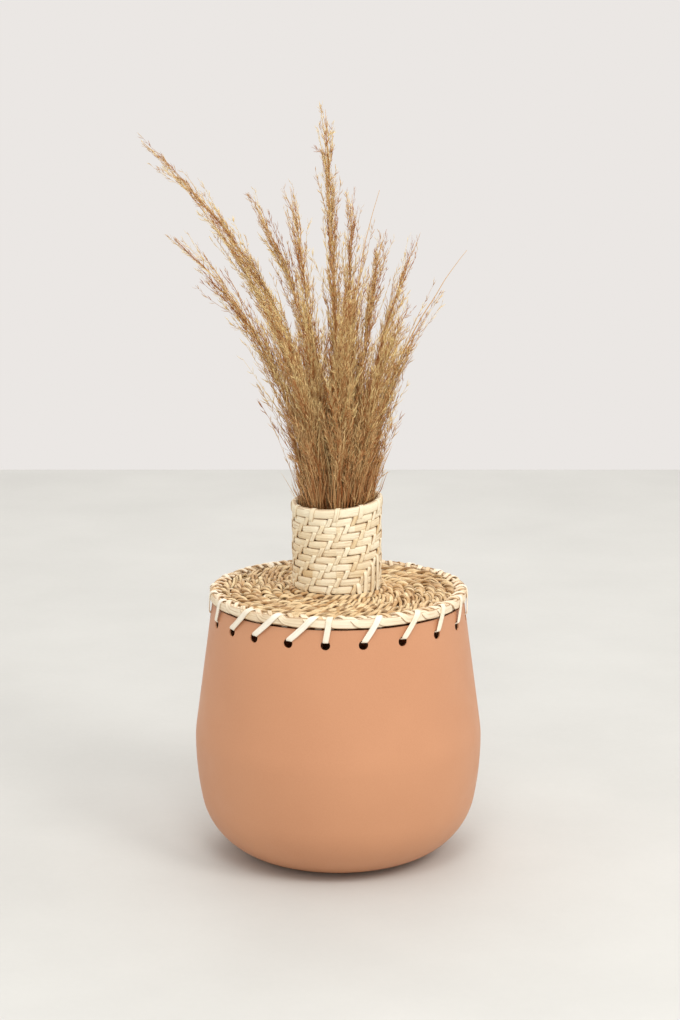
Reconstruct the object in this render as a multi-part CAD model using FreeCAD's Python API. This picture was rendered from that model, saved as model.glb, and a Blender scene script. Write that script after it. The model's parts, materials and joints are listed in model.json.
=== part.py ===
import FreeCAD, Part
import math
import os

# Flower vase: a thin spun metal bowl, closed by a cane disc with a woven neck that is
# laced to the bowl's rim, and a bunch of dried reed plumes that lifts out of the neck.
# Millimetres, +Z up. The origin is the middle of the bowl's foot, on the floor.
# Angles go round +Z from the front (-Y), positive towards +X.

# Metal bowl
SHEET = 1.2                 # thickness of the metal
RIM_Z = 226.0               # top edge of the bowl
BELLY_R = 125.0             # widest radius
BELLY_Z = 104.0             # height of the widest radius
SHOULDER_ARC_R = 87.0       # arc above the belly
SHOULDER_LEAN = 7.73        # degrees that the straight upper wall leans inwards
LOWER_ARC_R = 274.0         # arc below the belly
FOOT_ARC_R = 63.0           # arc that turns the wall into the flat foot

# Lacing holes, drilled by hand, so those at the front are unevenly spaced
HOLE_R = 4.0
HOLE_Z = 213.5
DRILL_LENGTH = 20.0         # long enough to pass right through the wall
# Each stitch: the angle of its hole, and how far it leans round to the right, in degrees
FRONT_STITCHES = [(-69.3, 8.2), (-54.0, 14.8), (-39.5, 13.3), (-22.1, 8.8), (-5.5, 2.0),
                  (10.9, 7.6), (29.0, 8.6), (48.5, 3.7), (65.7, 6.0)]
BACK_STITCHES = 12
BACK_LEAN = 8.6             # what a back stitch aims at; it goes down between two stakes

# Cane stakes: each runs out under the disc from the foot of the neck to the edge
STAKES = 33
STAKE_W = 5.2
STAKE_T = 1.1
STAKE_BEND_R = 4.0          # inner radius of the bend from disc to neck
STAKE_END_R = 109.6
NECK_IN_R = 36.0            # inner face of the stakes in the neck
STAKE_TOP_GAP = 0.2         # between the stakes' upper ends and the mouth's border
STAKE_TURN = 1.0            # angle of the first stake

# Twined rows of the disc
DISC_ROWS = 7
DISC_ROWS_FROM_R = 39.2
DISC_ROW_PITCH = 9.1
DISC_ROW_R = 4.45           # half the thickness of a twined row
DISC_ROWS_Z = 231.7

# Border band round the disc's edge
BORDER_IN_R = 104.6
BORDER_OUT_R = 111.0
BORDER_Z0 = 227.3
BORDER_Z1 = 236.0
BORDER_ROUND = 2.6

# Woven rows of the neck
NECK_ROWS = 10
NECK_ROWS_FROM_Z = 239.4
NECK_ROW_PITCH = 6.75
NECK_ROW_H = 6.45
NECK_ROW_IN_R = 37.4
NECK_ROW_OUT_R = 38.6
NECK_ROW_ROUND = 0.5

# Wrapped border round the mouth of the neck
MOUTH_IN_R = 35.2
MOUTH_OUT_R = 40.6
MOUTH_Z0 = 307.1
MOUTH_Z1 = 315.4
MOUTH_ROUND = 2.2

# Lacing: one flat strip, shown as its stitches over the edge
LACE_W = 6.2
LACE_T = 0.8
LACE_GAP = 0.4              # between the strip and what it goes over
LACE_IN_R = 103.3           # inner face of the leg that goes down between row and border
LACE_HOLE_RISE = 1.3        # the strip leaves by the upper part of its hole
LACE_IN_HOLE_R = 105.5      # the strip's end inside the bowl
LACE_LOW_Z = 222.5          # lower end of the inner leg
LACE_TURN = 1.2             # size of the strip's turn out of its hole
LACE_FLAT_FROM = 4.0        # how far above the hole the strip lies flat on the slant
LACE_INNER_TURN = 1.0       # size of the strip's turn down inside the border
LACE_SLANT_SHARE = 0.8      # share of the lean that shows as slant on the outer face

# Dried bunch
STEM_R = 1.6
STEM_FOOT_Z = 1.8
TIE_Z0 = 180.0
TIE_Z1 = 188.0
TIE_IN_R = 11.6
TIE_OUT_R = 13.4
TIE_ROUND = 0.8
BEND_Z = 190.0              # the stems stand upright below this and fan out above it
GATHER = 0.36               # spread of the stems at the tie, as a share of the mouth's
PLUME_Z = 318.0             # the plumes start just above the mouth
PLUME_BULGE = 0.60          # height of the curve's control point, as a share of the plume's
PLUME_BASE_R = 2.6
PLUME_TIP_R = 1.0
PLUME_SWELL_POWER = 0.8     # under 1, so that a plume is widest below its middle
PLUME_STATIONS = 7          # cross-sections of each plume

# Each plume: where its stem passes the mouth (x, y), its tip (x, y, z) and its half width
PLUMES = [
    ((-13.0, 7.0), (-168.0, 42.0, 617.0), 5.5),
    ((-20.0, 17.0), (-143.0, 80.0, 583.0), 4.5),
    ((-25.0, -3.0), (-136.0, -22.0, 542.0), 5.5),
    ((-8.0, 20.0), (-78.0, 62.0, 572.0), 5.0),
    ((-12.0, -9.0), (-40.0, -22.0, 584.0), 5.5),
    ((-1.0, 3.0), (-12.0, 6.0, 646.0), 6.0),
    ((5.0, 16.0), (12.0, 44.0, 572.0), 5.5),
    ((2.0, -10.0), (34.0, -34.0, 582.0), 5.0),
    ((12.0, 4.0), (39.0, 20.0, 541.0), 5.5),
    ((18.0, 17.0), (68.0, 62.0, 529.0), 5.5),
    ((23.0, 0.0), (110.0, 4.0, 528.0), 5.0),
    ((17.0, -18.0), (58.0, -52.0, 486.0), 5.5),
    ((1.0, -24.0), (6.0, -74.0, 505.0), 5.5),
    ((-16.0, -20.0), (-62.0, -72.0, 498.0), 5.0),
]

Z_AXIS = FreeCAD.Vector(0, 0, 1)
ORIGIN = FreeCAD.Vector(0, 0, 0)


def rz(radius, z):
    """A point of a section, in the XZ plane."""
    return FreeCAD.Vector(radius, 0, z)


def on_arc(centre, radius, degrees):
    """The point of a section's arc at this angle above the horizontal."""
    angle = math.radians(degrees)
    return centre + rz(radius * math.cos(angle), radius * math.sin(angle))


def arc(centre, radius, start, end):
    """An arc of a section from one angle to another, in degrees."""
    middle = on_arc(centre, radius, (start + end) / 2)
    return Part.Arc(on_arc(centre, radius, start), middle, on_arc(centre, radius, end)).toShape()


def line(a, b):
    return Part.LineSegment(a, b).toShape()


def outward(solid):
    """The same solid with its faces turned outwards."""
    if solid.Volume < 0:
        solid.reverse()
    return solid


def revolve(edges):
    """A closed solid of revolution about Z from the edges of its section, in any order."""
    outline = Part.Wire(Part.sortEdges(edges)[0])
    return outward(Part.Face(outline).revolve(ORIGIN, Z_AXIS, 360))


def ring(r0, r1, z0, z1, rounding):
    """A ring about Z whose section is a rectangle with rounded corners."""
    corners = [(r1 - rounding, z0 + rounding, -90), (r1 - rounding, z1 - rounding, 0),
               (r0 + rounding, z1 - rounding, 90), (r0 + rounding, z0 + rounding, 180)]
    edges = []
    for (r, z, start), (next_r, next_z, next_start) in zip(corners, corners[1:] + corners[:1]):
        edges.append(arc(rz(r, z), rounding, start, start + 90))
        edges.append(line(on_arc(rz(r, z), rounding, start + 90),
                          on_arc(rz(next_r, next_z), rounding, next_start)))
    return revolve(edges)


def turned(shape, degrees):
    """A copy of a shape made on the +X side, moved round to an angle from the front."""
    copy = shape.copy()
    copy.rotate(ORIGIN, Z_AXIS, degrees - 90)
    return copy


def save(name, *shapes):
    shape = shapes[0] if len(shapes) == 1 else Part.makeCompound(list(shapes))
    shape.exportStep(f"parts/{name}.step")


# ---------------------------------------------------------------- metal bowl

shoulder_centre = rz(BELLY_R - SHOULDER_ARC_R, BELLY_Z)
lower_centre = rz(BELLY_R - LOWER_ARC_R, BELLY_Z)
foot_turn = math.degrees(math.asin((BELLY_Z - FOOT_ARC_R) / (LOWER_ARC_R - FOOT_ARC_R)))
foot_centre = on_arc(lower_centre, LOWER_ARC_R - FOOT_ARC_R, -foot_turn)


def wall_point(inset, z):
    """The point of the straight upper wall at this height, inset from the outer face."""
    start = on_arc(shoulder_centre, SHOULDER_ARC_R - inset, SHOULDER_LEAN)
    return rz(start.x - (z - start.z) * math.tan(math.radians(SHOULDER_LEAN)), z)


def bowl_side(inset):
    """The bowl's outline from its axis to its rim, inset from the outer face."""
    shoulder_top = on_arc(shoulder_centre, SHOULDER_ARC_R - inset, SHOULDER_LEAN)
    return [
        line(rz(0, inset), on_arc(foot_centre, FOOT_ARC_R - inset, -90)),
        arc(foot_centre, FOOT_ARC_R - inset, -90, -foot_turn),
        arc(lower_centre, LOWER_ARC_R - inset, -foot_turn, 0),
        arc(shoulder_centre, SHOULDER_ARC_R - inset, 0, SHOULDER_LEAN),
        line(shoulder_top, wall_point(inset, RIM_Z)),
    ]


def stitch_angles():
    """Each stitch's hole angle and end angle: the uneven front ones, then the even back ones."""
    first, last = FRONT_STITCHES[0][0], FRONT_STITCHES[-1][0]
    step = (360 + first - last) / (BACK_STITCHES + 1)
    between_stakes = 360.0 / STAKES
    angles = [(hole, hole + lean) for hole, lean in FRONT_STITCHES]
    for i in range(BACK_STITCHES):
        hole = last + step * (i + 1)
        gap = round((hole + BACK_LEAN - STAKE_TURN) / between_stakes - 0.5) + 0.5
        angles.append((hole, STAKE_TURN + between_stakes * gap))
    return angles


def metal_bowl():
    rim = line(wall_point(0, RIM_Z), wall_point(SHEET, RIM_Z))
    axis = line(rz(0, 0), rz(0, SHEET))
    bowl = revolve(bowl_side(0) + [rim] + bowl_side(SHEET) + [axis])
    drill_start = rz(BELLY_R - DRILL_LENGTH, HOLE_Z)
    drill = Part.makeCylinder(HOLE_R, DRILL_LENGTH, drill_start, FreeCAD.Vector(1, 0, 0))
    return bowl.cut(Part.makeCompound([turned(drill, hole) for hole, _ in stitch_angles()]))


# ---------------------------------------------------------------- cane disc and neck

def stake():
    """One cane strip: out flat under the disc, and up through a bend along the neck."""
    outer_bend = STAKE_BEND_R + STAKE_T
    centre = rz(NECK_IN_R + outer_bend, RIM_Z + outer_bend)
    top = MOUTH_Z0 - STAKE_TOP_GAP
    inner, outer = NECK_IN_R, NECK_IN_R + STAKE_T
    low, high = RIM_Z, RIM_Z + STAKE_T
    edges = [
        line(rz(STAKE_END_R, low), rz(centre.x, low)),
        arc(centre, outer_bend, -90, -180),
        line(rz(inner, centre.z), rz(inner, top)),
        line(rz(inner, top), rz(outer, top)),
        line(rz(outer, top), rz(outer, centre.z)),
        arc(centre, STAKE_BEND_R, -180, -90),
        line(rz(centre.x, high), rz(STAKE_END_R, high)),
        line(rz(STAKE_END_R, high), rz(STAKE_END_R, low)),
    ]
    cane = Part.Face(Part.Wire(edges)).extrude(FreeCAD.Vector(0, STAKE_W, 0))
    cane.translate(FreeCAD.Vector(0, -STAKE_W / 2, 0))
    return cane


def disc_row(number):
    """One twined row of the disc, as a plain ring of its size."""
    middle = DISC_ROWS_FROM_R + DISC_ROW_PITCH * (number + 0.5)
    return Part.makeTorus(middle, DISC_ROW_R, FreeCAD.Vector(0, 0, DISC_ROWS_Z))


def neck_row(number):
    low = NECK_ROWS_FROM_Z + NECK_ROW_PITCH * number
    return ring(NECK_ROW_IN_R, NECK_ROW_OUT_R, low, low + NECK_ROW_H, NECK_ROW_ROUND)


# ---------------------------------------------------------------- lacing

def strip_section(r, z, normal_degrees, degrees, width):
    """The four corners of the strip's cross-section, at this angle round the vase."""
    across = FreeCAD.Vector(0, width / 2, 0)
    half = on_arc(ORIGIN, LACE_T / 2, normal_degrees)
    corners = [rz(r, z) - half - across, rz(r, z) + half - across,
               rz(r, z) + half + across, rz(r, z) - half + across]
    about = FreeCAD.Rotation(Z_AXIS, degrees - 90)
    return [about.multVec(corner) for corner in corners]


def strip(sections):
    """A closed solid with flat ends through cross-sections, with ruled faces between them."""
    faces = []
    for near, far in zip(sections, sections[1:]):
        for i in range(4):
            j = (i + 1) % 4
            faces.append(Part.makeRuledSurface(line(near[i], near[j]), line(far[i], far[j])))
    for end in (sections[0], sections[-1]):
        faces.append(Part.Face(Part.makePolygon(end + end[:1])))
    shell = Part.makeShell(faces)
    shell.sewShape()
    return outward(Part.makeSolid(shell))


def stitch(hole_angle, end_angle):
    """One stitch: out of its hole, up over the border with a lean, and down inside it."""
    outside = BORDER_OUT_R + LACE_GAP + LACE_T / 2
    inside = LACE_IN_R + LACE_T / 2
    top = BORDER_Z1 + LACE_GAP + LACE_T / 2
    start_z = HOLE_Z + LACE_HOLE_RISE
    corner = BORDER_ROUND
    # radius, height, direction of the outer face, share of the lean, share of the slant's width
    stations = [
        (LACE_IN_HOLE_R, start_z, -90, 0, 0),
        (outside - LACE_TURN, start_z, -90, 0, 0),
        (outside, start_z + LACE_TURN, -10, 0.06, 0.3),
        (outside, start_z + LACE_FLAT_FROM, 0, 0.16, 1),
        (outside, top - corner, 0, 0.66, 1),
        (outside - corner * 0.3, top - corner * 0.3, 45, 0.76, 1),
        (outside - corner, top, 90, 0.84, 1),
        (inside + LACE_INNER_TURN, top, 90, 0.98, 0.5),
        (inside, top - LACE_INNER_TURN, 180, 1, 0),
        (inside, LACE_LOW_Z, 180, 1, 0),
    ]
    rise = top - start_z
    sideways = math.radians(end_angle - hole_angle) * outside * LACE_SLANT_SHARE
    slant = math.atan(sideways / rise)
    wider = 1 / math.cos(slant) - 1
    sections = [
        strip_section(r, z, face, hole_angle + (end_angle - hole_angle) * lean,
                      LACE_W * (1 + wider * wide))
        for r, z, face, lean, wide in stations
    ]
    return strip(sections)


# ---------------------------------------------------------------- dried bunch

def stem(mouth):
    """A reed stem: upright from the vase's floor to the tie, then leaning to the mouth."""
    x, y = mouth
    foot = FreeCAD.Vector(x * GATHER, y * GATHER, STEM_FOOT_Z)
    bend = FreeCAD.Vector(foot.x, foot.y, BEND_Z)
    end = FreeCAD.Vector(x, y, PLUME_Z)
    upright = Part.makeCylinder(STEM_R, BEND_Z - STEM_FOOT_Z, foot)
    knuckle = Part.makeSphere(STEM_R, bend)
    leaning = Part.makeCylinder(STEM_R, (end - bend).Length, bend, end - bend)
    return upright.fuse([knuckle, leaning]).removeSplitter()


def round_section(centre, tangent, radius):
    """A circle square to the tangent, as two arcs that start on the same side each time."""
    side = FreeCAD.Vector(0, 1, 0).cross(tangent).normalize() * radius
    across = FreeCAD.Vector(tangent).cross(side).normalize() * radius
    near = Part.Arc(centre + side, centre + across, centre - side)
    far = Part.Arc(centre - side, centre - across, centre + side)
    return Part.Wire([near.toShape(), far.toShape()])


def plume(mouth, tip, half_width):
    """A plume's dense core: a slim spindle that follows its curve from stem to tip."""
    start = FreeCAD.Vector(mouth[0], mouth[1], PLUME_Z)
    end = FreeCAD.Vector(*tip)
    bend = FreeCAD.Vector(start.x * GATHER, start.y * GATHER, BEND_Z)
    direction = (start - bend) * (1 / (PLUME_Z - BEND_Z))
    control = start + direction * ((end.z - start.z) * PLUME_BULGE)
    sections = []
    for i in range(PLUME_STATIONS):
        t = i / (PLUME_STATIONS - 1)
        point = start * (1 - t) ** 2 + control * (2 * t * (1 - t)) + end * t ** 2
        tangent = (control - start) * (1 - t) + (end - control) * t
        bare = PLUME_BASE_R + (PLUME_TIP_R - PLUME_BASE_R) * t
        swell = (half_width - bare) * math.sin(math.pi * t ** PLUME_SWELL_POWER)
        sections.append(round_section(point, tangent, bare + swell))
    return outward(Part.makeLoft(sections, True, False))


# ---------------------------------------------------------------- all nodes

os.makedirs("parts", exist_ok=True)

save("vase_body", metal_bowl())
save("cane_stakes", *[turned(stake(), STAKE_TURN + 360.0 / STAKES * i) for i in range(STAKES)])
for row in range(DISC_ROWS):
    save(f"disc_row_{row + 1}", disc_row(row))
save("disc_border", ring(BORDER_IN_R, BORDER_OUT_R, BORDER_Z0, BORDER_Z1, BORDER_ROUND))
for row in range(NECK_ROWS):
    save(f"neck_row_{row + 1:02d}", neck_row(row))
save("neck_border", ring(MOUTH_IN_R, MOUTH_OUT_R, MOUTH_Z0, MOUTH_Z1, MOUTH_ROUND))
save("lacing", *[stitch(hole, end) for hole, end in stitch_angles()])
save("bunch_tie", ring(TIE_IN_R, TIE_OUT_R, TIE_Z0, TIE_Z1, TIE_ROUND))
for number, (mouth, tip, half_width) in enumerate(PLUMES, 1):
    save(f"stem_{number:02d}", stem(mouth))
    save(f"plume_{number:02d}", plume(mouth, tip, half_width))
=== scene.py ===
import json
import math

import bpy
import numpy as np
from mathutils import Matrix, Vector


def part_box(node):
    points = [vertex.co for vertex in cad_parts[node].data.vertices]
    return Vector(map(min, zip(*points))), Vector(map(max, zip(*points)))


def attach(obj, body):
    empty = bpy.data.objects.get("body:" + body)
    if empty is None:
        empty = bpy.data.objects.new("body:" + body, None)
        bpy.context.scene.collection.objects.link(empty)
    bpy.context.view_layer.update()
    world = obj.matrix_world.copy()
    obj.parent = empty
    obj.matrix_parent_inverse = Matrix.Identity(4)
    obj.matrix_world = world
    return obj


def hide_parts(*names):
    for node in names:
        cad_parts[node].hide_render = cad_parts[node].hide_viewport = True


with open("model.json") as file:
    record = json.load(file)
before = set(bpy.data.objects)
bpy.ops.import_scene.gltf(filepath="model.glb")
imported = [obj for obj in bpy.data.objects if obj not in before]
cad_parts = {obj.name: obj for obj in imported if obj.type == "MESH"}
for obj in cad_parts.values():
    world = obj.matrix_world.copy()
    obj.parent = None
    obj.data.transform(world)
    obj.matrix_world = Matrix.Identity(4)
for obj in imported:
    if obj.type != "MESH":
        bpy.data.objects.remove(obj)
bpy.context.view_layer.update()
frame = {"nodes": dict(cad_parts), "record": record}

# The looks of the flower vase: painted metal bowl, woven cane disc and neck, white cane
# lacing and a bunch of dried reed plumes. Lengths in the shape code are millimetres and
# become metres in Pile.piece(); the floor, lights and camera are in metres. Angles are
# degrees from the front (-Y), positive to +X.

MM = 0.001
UP = np.array([0.0, 0.0, 1.0])
FIBRE_RANGE = 500                 # strands start at random along the fibre texture, up to here
rng = np.random.default_rng(48)


# ---------------------------------------------------------------- numbers from the frame

def node_box(name):
    """Lowest and highest corner of a CAD node, in millimetres."""
    low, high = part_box(name)
    return np.array(low) / MM, np.array(high) / MM


def node_points(name):
    """The vertices of a CAD node, in millimetres."""
    mesh = frame["nodes"][name].data
    points = np.zeros(len(mesh.vertices) * 3, np.float32)
    mesh.vertices.foreach_get("co", points)
    return points.reshape(-1, 3).astype(float) / MM


BODIES = frame["record"]["behaviour"]["bodies"]
DISC_ROWS = sorted(n for n in BODIES["vase"] if n.startswith("disc_row"))
NECK_ROWS = sorted(n for n in BODIES["vase"] if n.startswith("neck_row"))
PLUMES = sorted(n for n in BODIES["bunch"] if n.startswith("plume"))
STEMS = sorted(n for n in BODIES["bunch"] if n.startswith("stem"))

STAKES = 33
STAKE_STEP = 360.0 / STAKES
STAKE_TURN = 1.0                  # angle of the first stake
RIM_Z = node_box("vase_body")[1][2]


# ---------------------------------------------------------------- mesh building

def polar(radius, degrees, z):
    """Points from radius, angle from the front and height, any of them arrays."""
    angle = np.radians(degrees)
    radius, angle, z = np.broadcast_arrays(radius, angle, z)
    return np.stack([radius * np.sin(angle), -radius * np.cos(angle), z], axis=-1).astype(float)


def outward(degrees, lift=0.0):
    """Unit vectors that point away from the axis at an angle, lifted by so many degrees."""
    lift = np.radians(lift)
    return polar(np.cos(lift), degrees, np.sin(lift))


def unit(vectors):
    """The same directions at length 1."""
    length = np.linalg.norm(vectors, axis=-1, keepdims=True)
    return vectors / np.maximum(length, 1e-9)


def tangents(path, closed=False):
    """The direction of a path at each of its points."""
    if closed:
        return unit(np.roll(path, -1, axis=0) - np.roll(path, 1, axis=0))
    return unit(np.gradient(path, axis=0))


def facing(path, face, closed=False):
    """The side and outer directions along a path for a strip whose outer face looks this way."""
    run = tangents(path, closed)
    side = unit(np.cross(run, face))
    return side, np.cross(side, run)


def smooth_path(points, count):
    """A Catmull-Rom curve through rows of numbers, resampled to this many rows."""
    points = np.asarray(points, float)
    padded = np.vstack([2 * points[0] - points[1], points, 2 * points[-1] - points[-2]])
    at = np.linspace(0, len(points) - 1 - 1e-6, count)
    i = at.astype(int)
    t = (at - i)[:, None]
    p0, p1, p2, p3 = padded[i], padded[i + 1], padded[i + 2], padded[i + 3]
    return 0.5 * (2 * p1 + (p2 - p0) * t + (2 * p0 - 5 * p1 + 4 * p2 - p3) * t ** 2
                  + (3 * p1 - p0 - 3 * p2 + p3) * t ** 3)


def wander(count, knots, size, closed=False):
    """A smooth random line of this size, for the unevenness of hand work."""
    values = rng.normal(0, size, knots)
    if closed:
        values[-1] = values[0]
    x = np.linspace(0, knots - 1, count)
    i = np.minimum(x.astype(int), knots - 2)
    t = x - i
    t = t * t * (3 - 2 * t)
    return values[i] * (1 - t) + values[i + 1] * t


def strip_tints(count, length, alpha, beta):
    """Tints for a long strand pieced together from strips of about this many points."""
    strips = np.cumsum(rng.random(count) < 1 / length)
    return rng.beta(alpha, beta, strips.max() + 1)[strips]


class Pile:
    """Tubes gathered into one mesh, with fibre coordinates, tint, share along the strand and nearness to
    its edge at every vertex.
    """

    def __init__(self):
        self.points, self.fibre, self.tint, self.along, self.edge = [], [], [], [], []
        self.faces, self.count = {}, 0

    def _add_faces(self, faces):
        faces = np.asarray(faces)
        corners = faces.shape[-1]
        self.faces.setdefault(corners, []).append(faces.reshape(-1, corners) + self.count)

    def tube(self, path, side, up, tint, closed=False, power=2.0, around=10):
        """One tube along a path, with half-width and half-thickness vectors at each point.
        A power above 2 squares its section."""
        n = len(path)
        turn = np.arange(around) * 2 * math.pi / around
        across = np.sign(np.cos(turn)) * np.abs(np.cos(turn)) ** (2 / power)
        height = np.sign(np.sin(turn)) * np.abs(np.sin(turn)) ** (2 / power)
        run = tangents(path, closed)
        if np.sum(np.cross(side, up) * run) < 0:
            side = -side
        points = (path[:, None] + across[None, :, None] * side[:, None]
                  + height[None, :, None] * up[:, None])
        length = np.concatenate([[0], np.cumsum(np.linalg.norm(np.diff(path, axis=0), axis=1))])
        wide = np.linalg.norm(side, axis=1)[:, None] * across[None]
        thick = np.linalg.norm(up, axis=1)[:, None] * height[None]
        start = rng.uniform(0, FIBRE_RANGE)
        fibre = np.stack([np.broadcast_to(length[:, None], wide.shape) + start,
                          wide + start, thick], axis=-1)
        i = np.arange(n if closed else n - 1)[:, None]
        j = np.arange(around)[None]
        i2, j2 = (i + 1) % n, (j + 1) % around
        self._add_faces(np.stack([i * around + j, i * around + j2,
                                  i2 * around + j2, i2 * around + j], axis=-1))
        if not closed:
            first = np.arange(around)
            self._add_faces(first[::-1][None])
            self._add_faces((first + (n - 1) * around)[None])
        self._store(points.reshape(-1, 3), fibre.reshape(-1, 3),
                    np.repeat(np.broadcast_to(tint, n), around),
                    np.repeat(np.linspace(0, 1, n), around),
                    np.tile(np.abs(across), n))

    def hairs(self, paths, radii, tint, along, sides=3):
        """Many thin tubes at once: paths (n, p, 3), radii (n, p), tint (n,), along (n, p)."""
        n, p = paths.shape[:2]
        run = unit(np.gradient(paths, axis=1))
        # Any direction does here that no hair lies along
        aside = unit(np.cross(run, np.array([0.31, 0.9, 0.12])))
        over = np.cross(run, aside)
        turn = np.arange(sides) * 2 * math.pi / sides
        points = (paths[:, :, None] + radii[:, :, None, None]
                  * (np.cos(turn)[None, None, :, None] * aside[:, :, None]
                     + np.sin(turn)[None, None, :, None] * over[:, :, None]))
        base = (np.arange(n) * p * sides)[:, None, None]
        i = np.arange(p - 1)[None, :, None] * sides
        j = np.arange(sides)[None, None]
        j2 = (j + 1) % sides
        self._add_faces(np.stack([base + i + j, base + i + j2,
                                  base + i + sides + j2, base + i + sides + j], axis=-1))
        first = np.arange(n)[:, None] * p * sides + np.arange(sides)[None]
        self._add_faces(first[:, ::-1])
        self._add_faces(first + (p - 1) * sides)
        length = np.concatenate([np.zeros((n, 1)), np.cumsum(
            np.linalg.norm(np.diff(paths, axis=1), axis=2), axis=1)], axis=1)
        fibre = np.zeros((n, p, sides, 3))
        fibre[..., 0] = length[:, :, None] + rng.uniform(0, FIBRE_RANGE, n)[:, None, None]
        fibre[..., 1] = np.arange(sides)[None, None]
        self._store(points.reshape(-1, 3), fibre.reshape(-1, 3),
                    np.repeat(tint, p * sides), np.repeat(along.reshape(-1), sides),
                    np.zeros(n * p * sides))

    def _store(self, points, fibre, tint, along, edge):
        self.points.append(points)
        self.fibre.append(fibre)
        self.tint.append(tint)
        self.along.append(along)
        self.edge.append(edge)
        self.count += len(points)

    def move(self, change):
        """Changes every point so far by a function of the whole array."""
        self.points = [change(np.concatenate(self.points))]

    def piece(self, name, body, nodes, material):
        """Makes the object, which rides on a body and replaces CAD nodes."""
        points = np.concatenate(self.points) * MM
        loops, totals = [], []
        for corners, groups in sorted(self.faces.items()):
            faces = np.concatenate(groups)
            loops.append(faces.reshape(-1))
            totals.append(np.full(len(faces), corners))
        loops, totals = np.concatenate(loops), np.concatenate(totals)
        mesh = bpy.data.meshes.new(name)
        mesh.vertices.add(len(points))
        mesh.vertices.foreach_set("co", points.reshape(-1).astype(np.float32))
        mesh.loops.add(len(loops))
        mesh.loops.foreach_set("vertex_index", loops.astype(np.int32))
        mesh.polygons.add(len(totals))
        mesh.polygons.foreach_set("loop_start", (np.cumsum(totals) - totals).astype(np.int32))
        mesh.polygons.foreach_set("loop_total", totals.astype(np.int32))
        mesh.update(calc_edges=True)
        mesh.polygons.foreach_set("use_smooth", np.ones(len(totals), bool))
        for label, values, kind in (("fibre", self.fibre, "FLOAT_VECTOR"),
                                    ("tint", self.tint, "FLOAT"),
                                    ("along", self.along, "FLOAT"), ("edge", self.edge, "FLOAT")):
            layer = mesh.attributes.new(label, kind, "POINT")
            layer.data.foreach_set("vector" if kind == "FLOAT_VECTOR" else "value",
                                   np.concatenate(values).reshape(-1).astype(np.float32))
        mesh.validate()
        mesh.materials.append(material)
        thing = bpy.data.objects.new(name, mesh)
        bpy.context.scene.collection.objects.link(thing)
        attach(thing, body)
        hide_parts(*nodes)
        return thing


# ---------------------------------------------------------------- materials

def linear(*srgb):
    """A colour for a shader from 0-255 screen values, all above 10."""
    return [((value / 255 + 0.055) / 1.055) ** 2.4 for value in srgb] + [1.0]


NOISE_ROUGHNESS = 0.55


class Shader:
    """A node material that is built up step by step."""

    def __init__(self, name):
        self.material = bpy.data.materials.new(name)
        self.material.use_nodes = True
        self.nodes, self.links = self.material.node_tree.nodes, self.material.node_tree.links
        self.surface = self.nodes["Principled BSDF"]

    def put(self, socket, value):
        if isinstance(value, bpy.types.NodeSocket):
            self.links.new(value, socket)
        else:
            socket.default_value = value

    def math(self, operation, a, b, clamp=False):
        node = self.nodes.new("ShaderNodeMath")
        node.operation, node.use_clamp = operation, clamp
        self.put(node.inputs[0], a)
        self.put(node.inputs[1], b)
        return node.outputs[0]

    def scaled(self, vector, scale):
        node = self.nodes.new("ShaderNodeVectorMath")
        node.operation = "MULTIPLY"
        self.links.new(vector, node.inputs[0])
        node.inputs[1].default_value = scale
        return node.outputs[0]

    def noise(self, vector, scale, detail=3.0):
        node = self.nodes.new("ShaderNodeTexNoise")
        self.links.new(vector, node.inputs["Vector"])
        node.inputs["Scale"].default_value = scale
        node.inputs["Detail"].default_value = detail
        node.inputs["Roughness"].default_value = NOISE_ROUGHNESS
        return node.outputs["Fac"]

    def spread(self, value, low, high, to_low=0.0, to_high=1.0):
        node = self.nodes.new("ShaderNodeMapRange")
        self.links.new(value, node.inputs["Value"])
        for socket, number in zip(("From Min", "From Max", "To Min", "To Max"),
                                  (low, high, to_low, to_high)):
            node.inputs[socket].default_value = number
        return node.outputs["Result"]

    def mix(self, factor, a, b, blend="MIX"):
        node = self.nodes.new("ShaderNodeMix")
        node.data_type, node.blend_type = "RGBA", blend
        self.put(node.inputs[0], factor)
        self.put(node.inputs[6], a)
        self.put(node.inputs[7], b)
        return node.outputs[2]

    def attribute(self, name, output="Fac"):
        node = self.nodes.new("ShaderNodeAttribute")
        node.attribute_name = name
        return node.outputs[output]

    def place(self):
        return self.nodes.new("ShaderNodeTexCoord").outputs["Object"]

    def bump(self, height, distance, strength):
        node = self.nodes.new("ShaderNodeBump")
        node.inputs["Distance"].default_value = distance
        node.inputs["Strength"].default_value = strength
        self.links.new(height, node.inputs["Height"])
        self.links.new(node.outputs["Normal"], self.surface.inputs["Normal"])

    def finish(self, colour, roughness, specular):
        self.put(self.surface.inputs["Base Color"], colour)
        self.put(self.surface.inputs["Roughness"], roughness)
        self.surface.inputs["Specular IOR Level"].default_value = specular
        return self.material


def painted_metal():
    """Matt terracotta paint with faint clouds and a fine grain."""
    s = Shader("terracotta_powder_coat")
    place = s.place()
    cloud = s.noise(place, 9.0, 2.0)
    grain = s.noise(place, 900.0, 2.0)
    colour = s.mix(s.spread(cloud, 0.3, 0.7), linear(197, 139, 101), linear(203, 145, 106))
    colour = s.mix(s.spread(grain, 0.35, 0.65, 0.0, 0.10), colour, linear(222, 166, 130))
    s.bump(grain, 0.00012, 0.5)
    return s.finish(colour, s.spread(s.noise(place, 40.0), 0.3, 0.7, 0.44, 0.54), 0.5)


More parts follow.
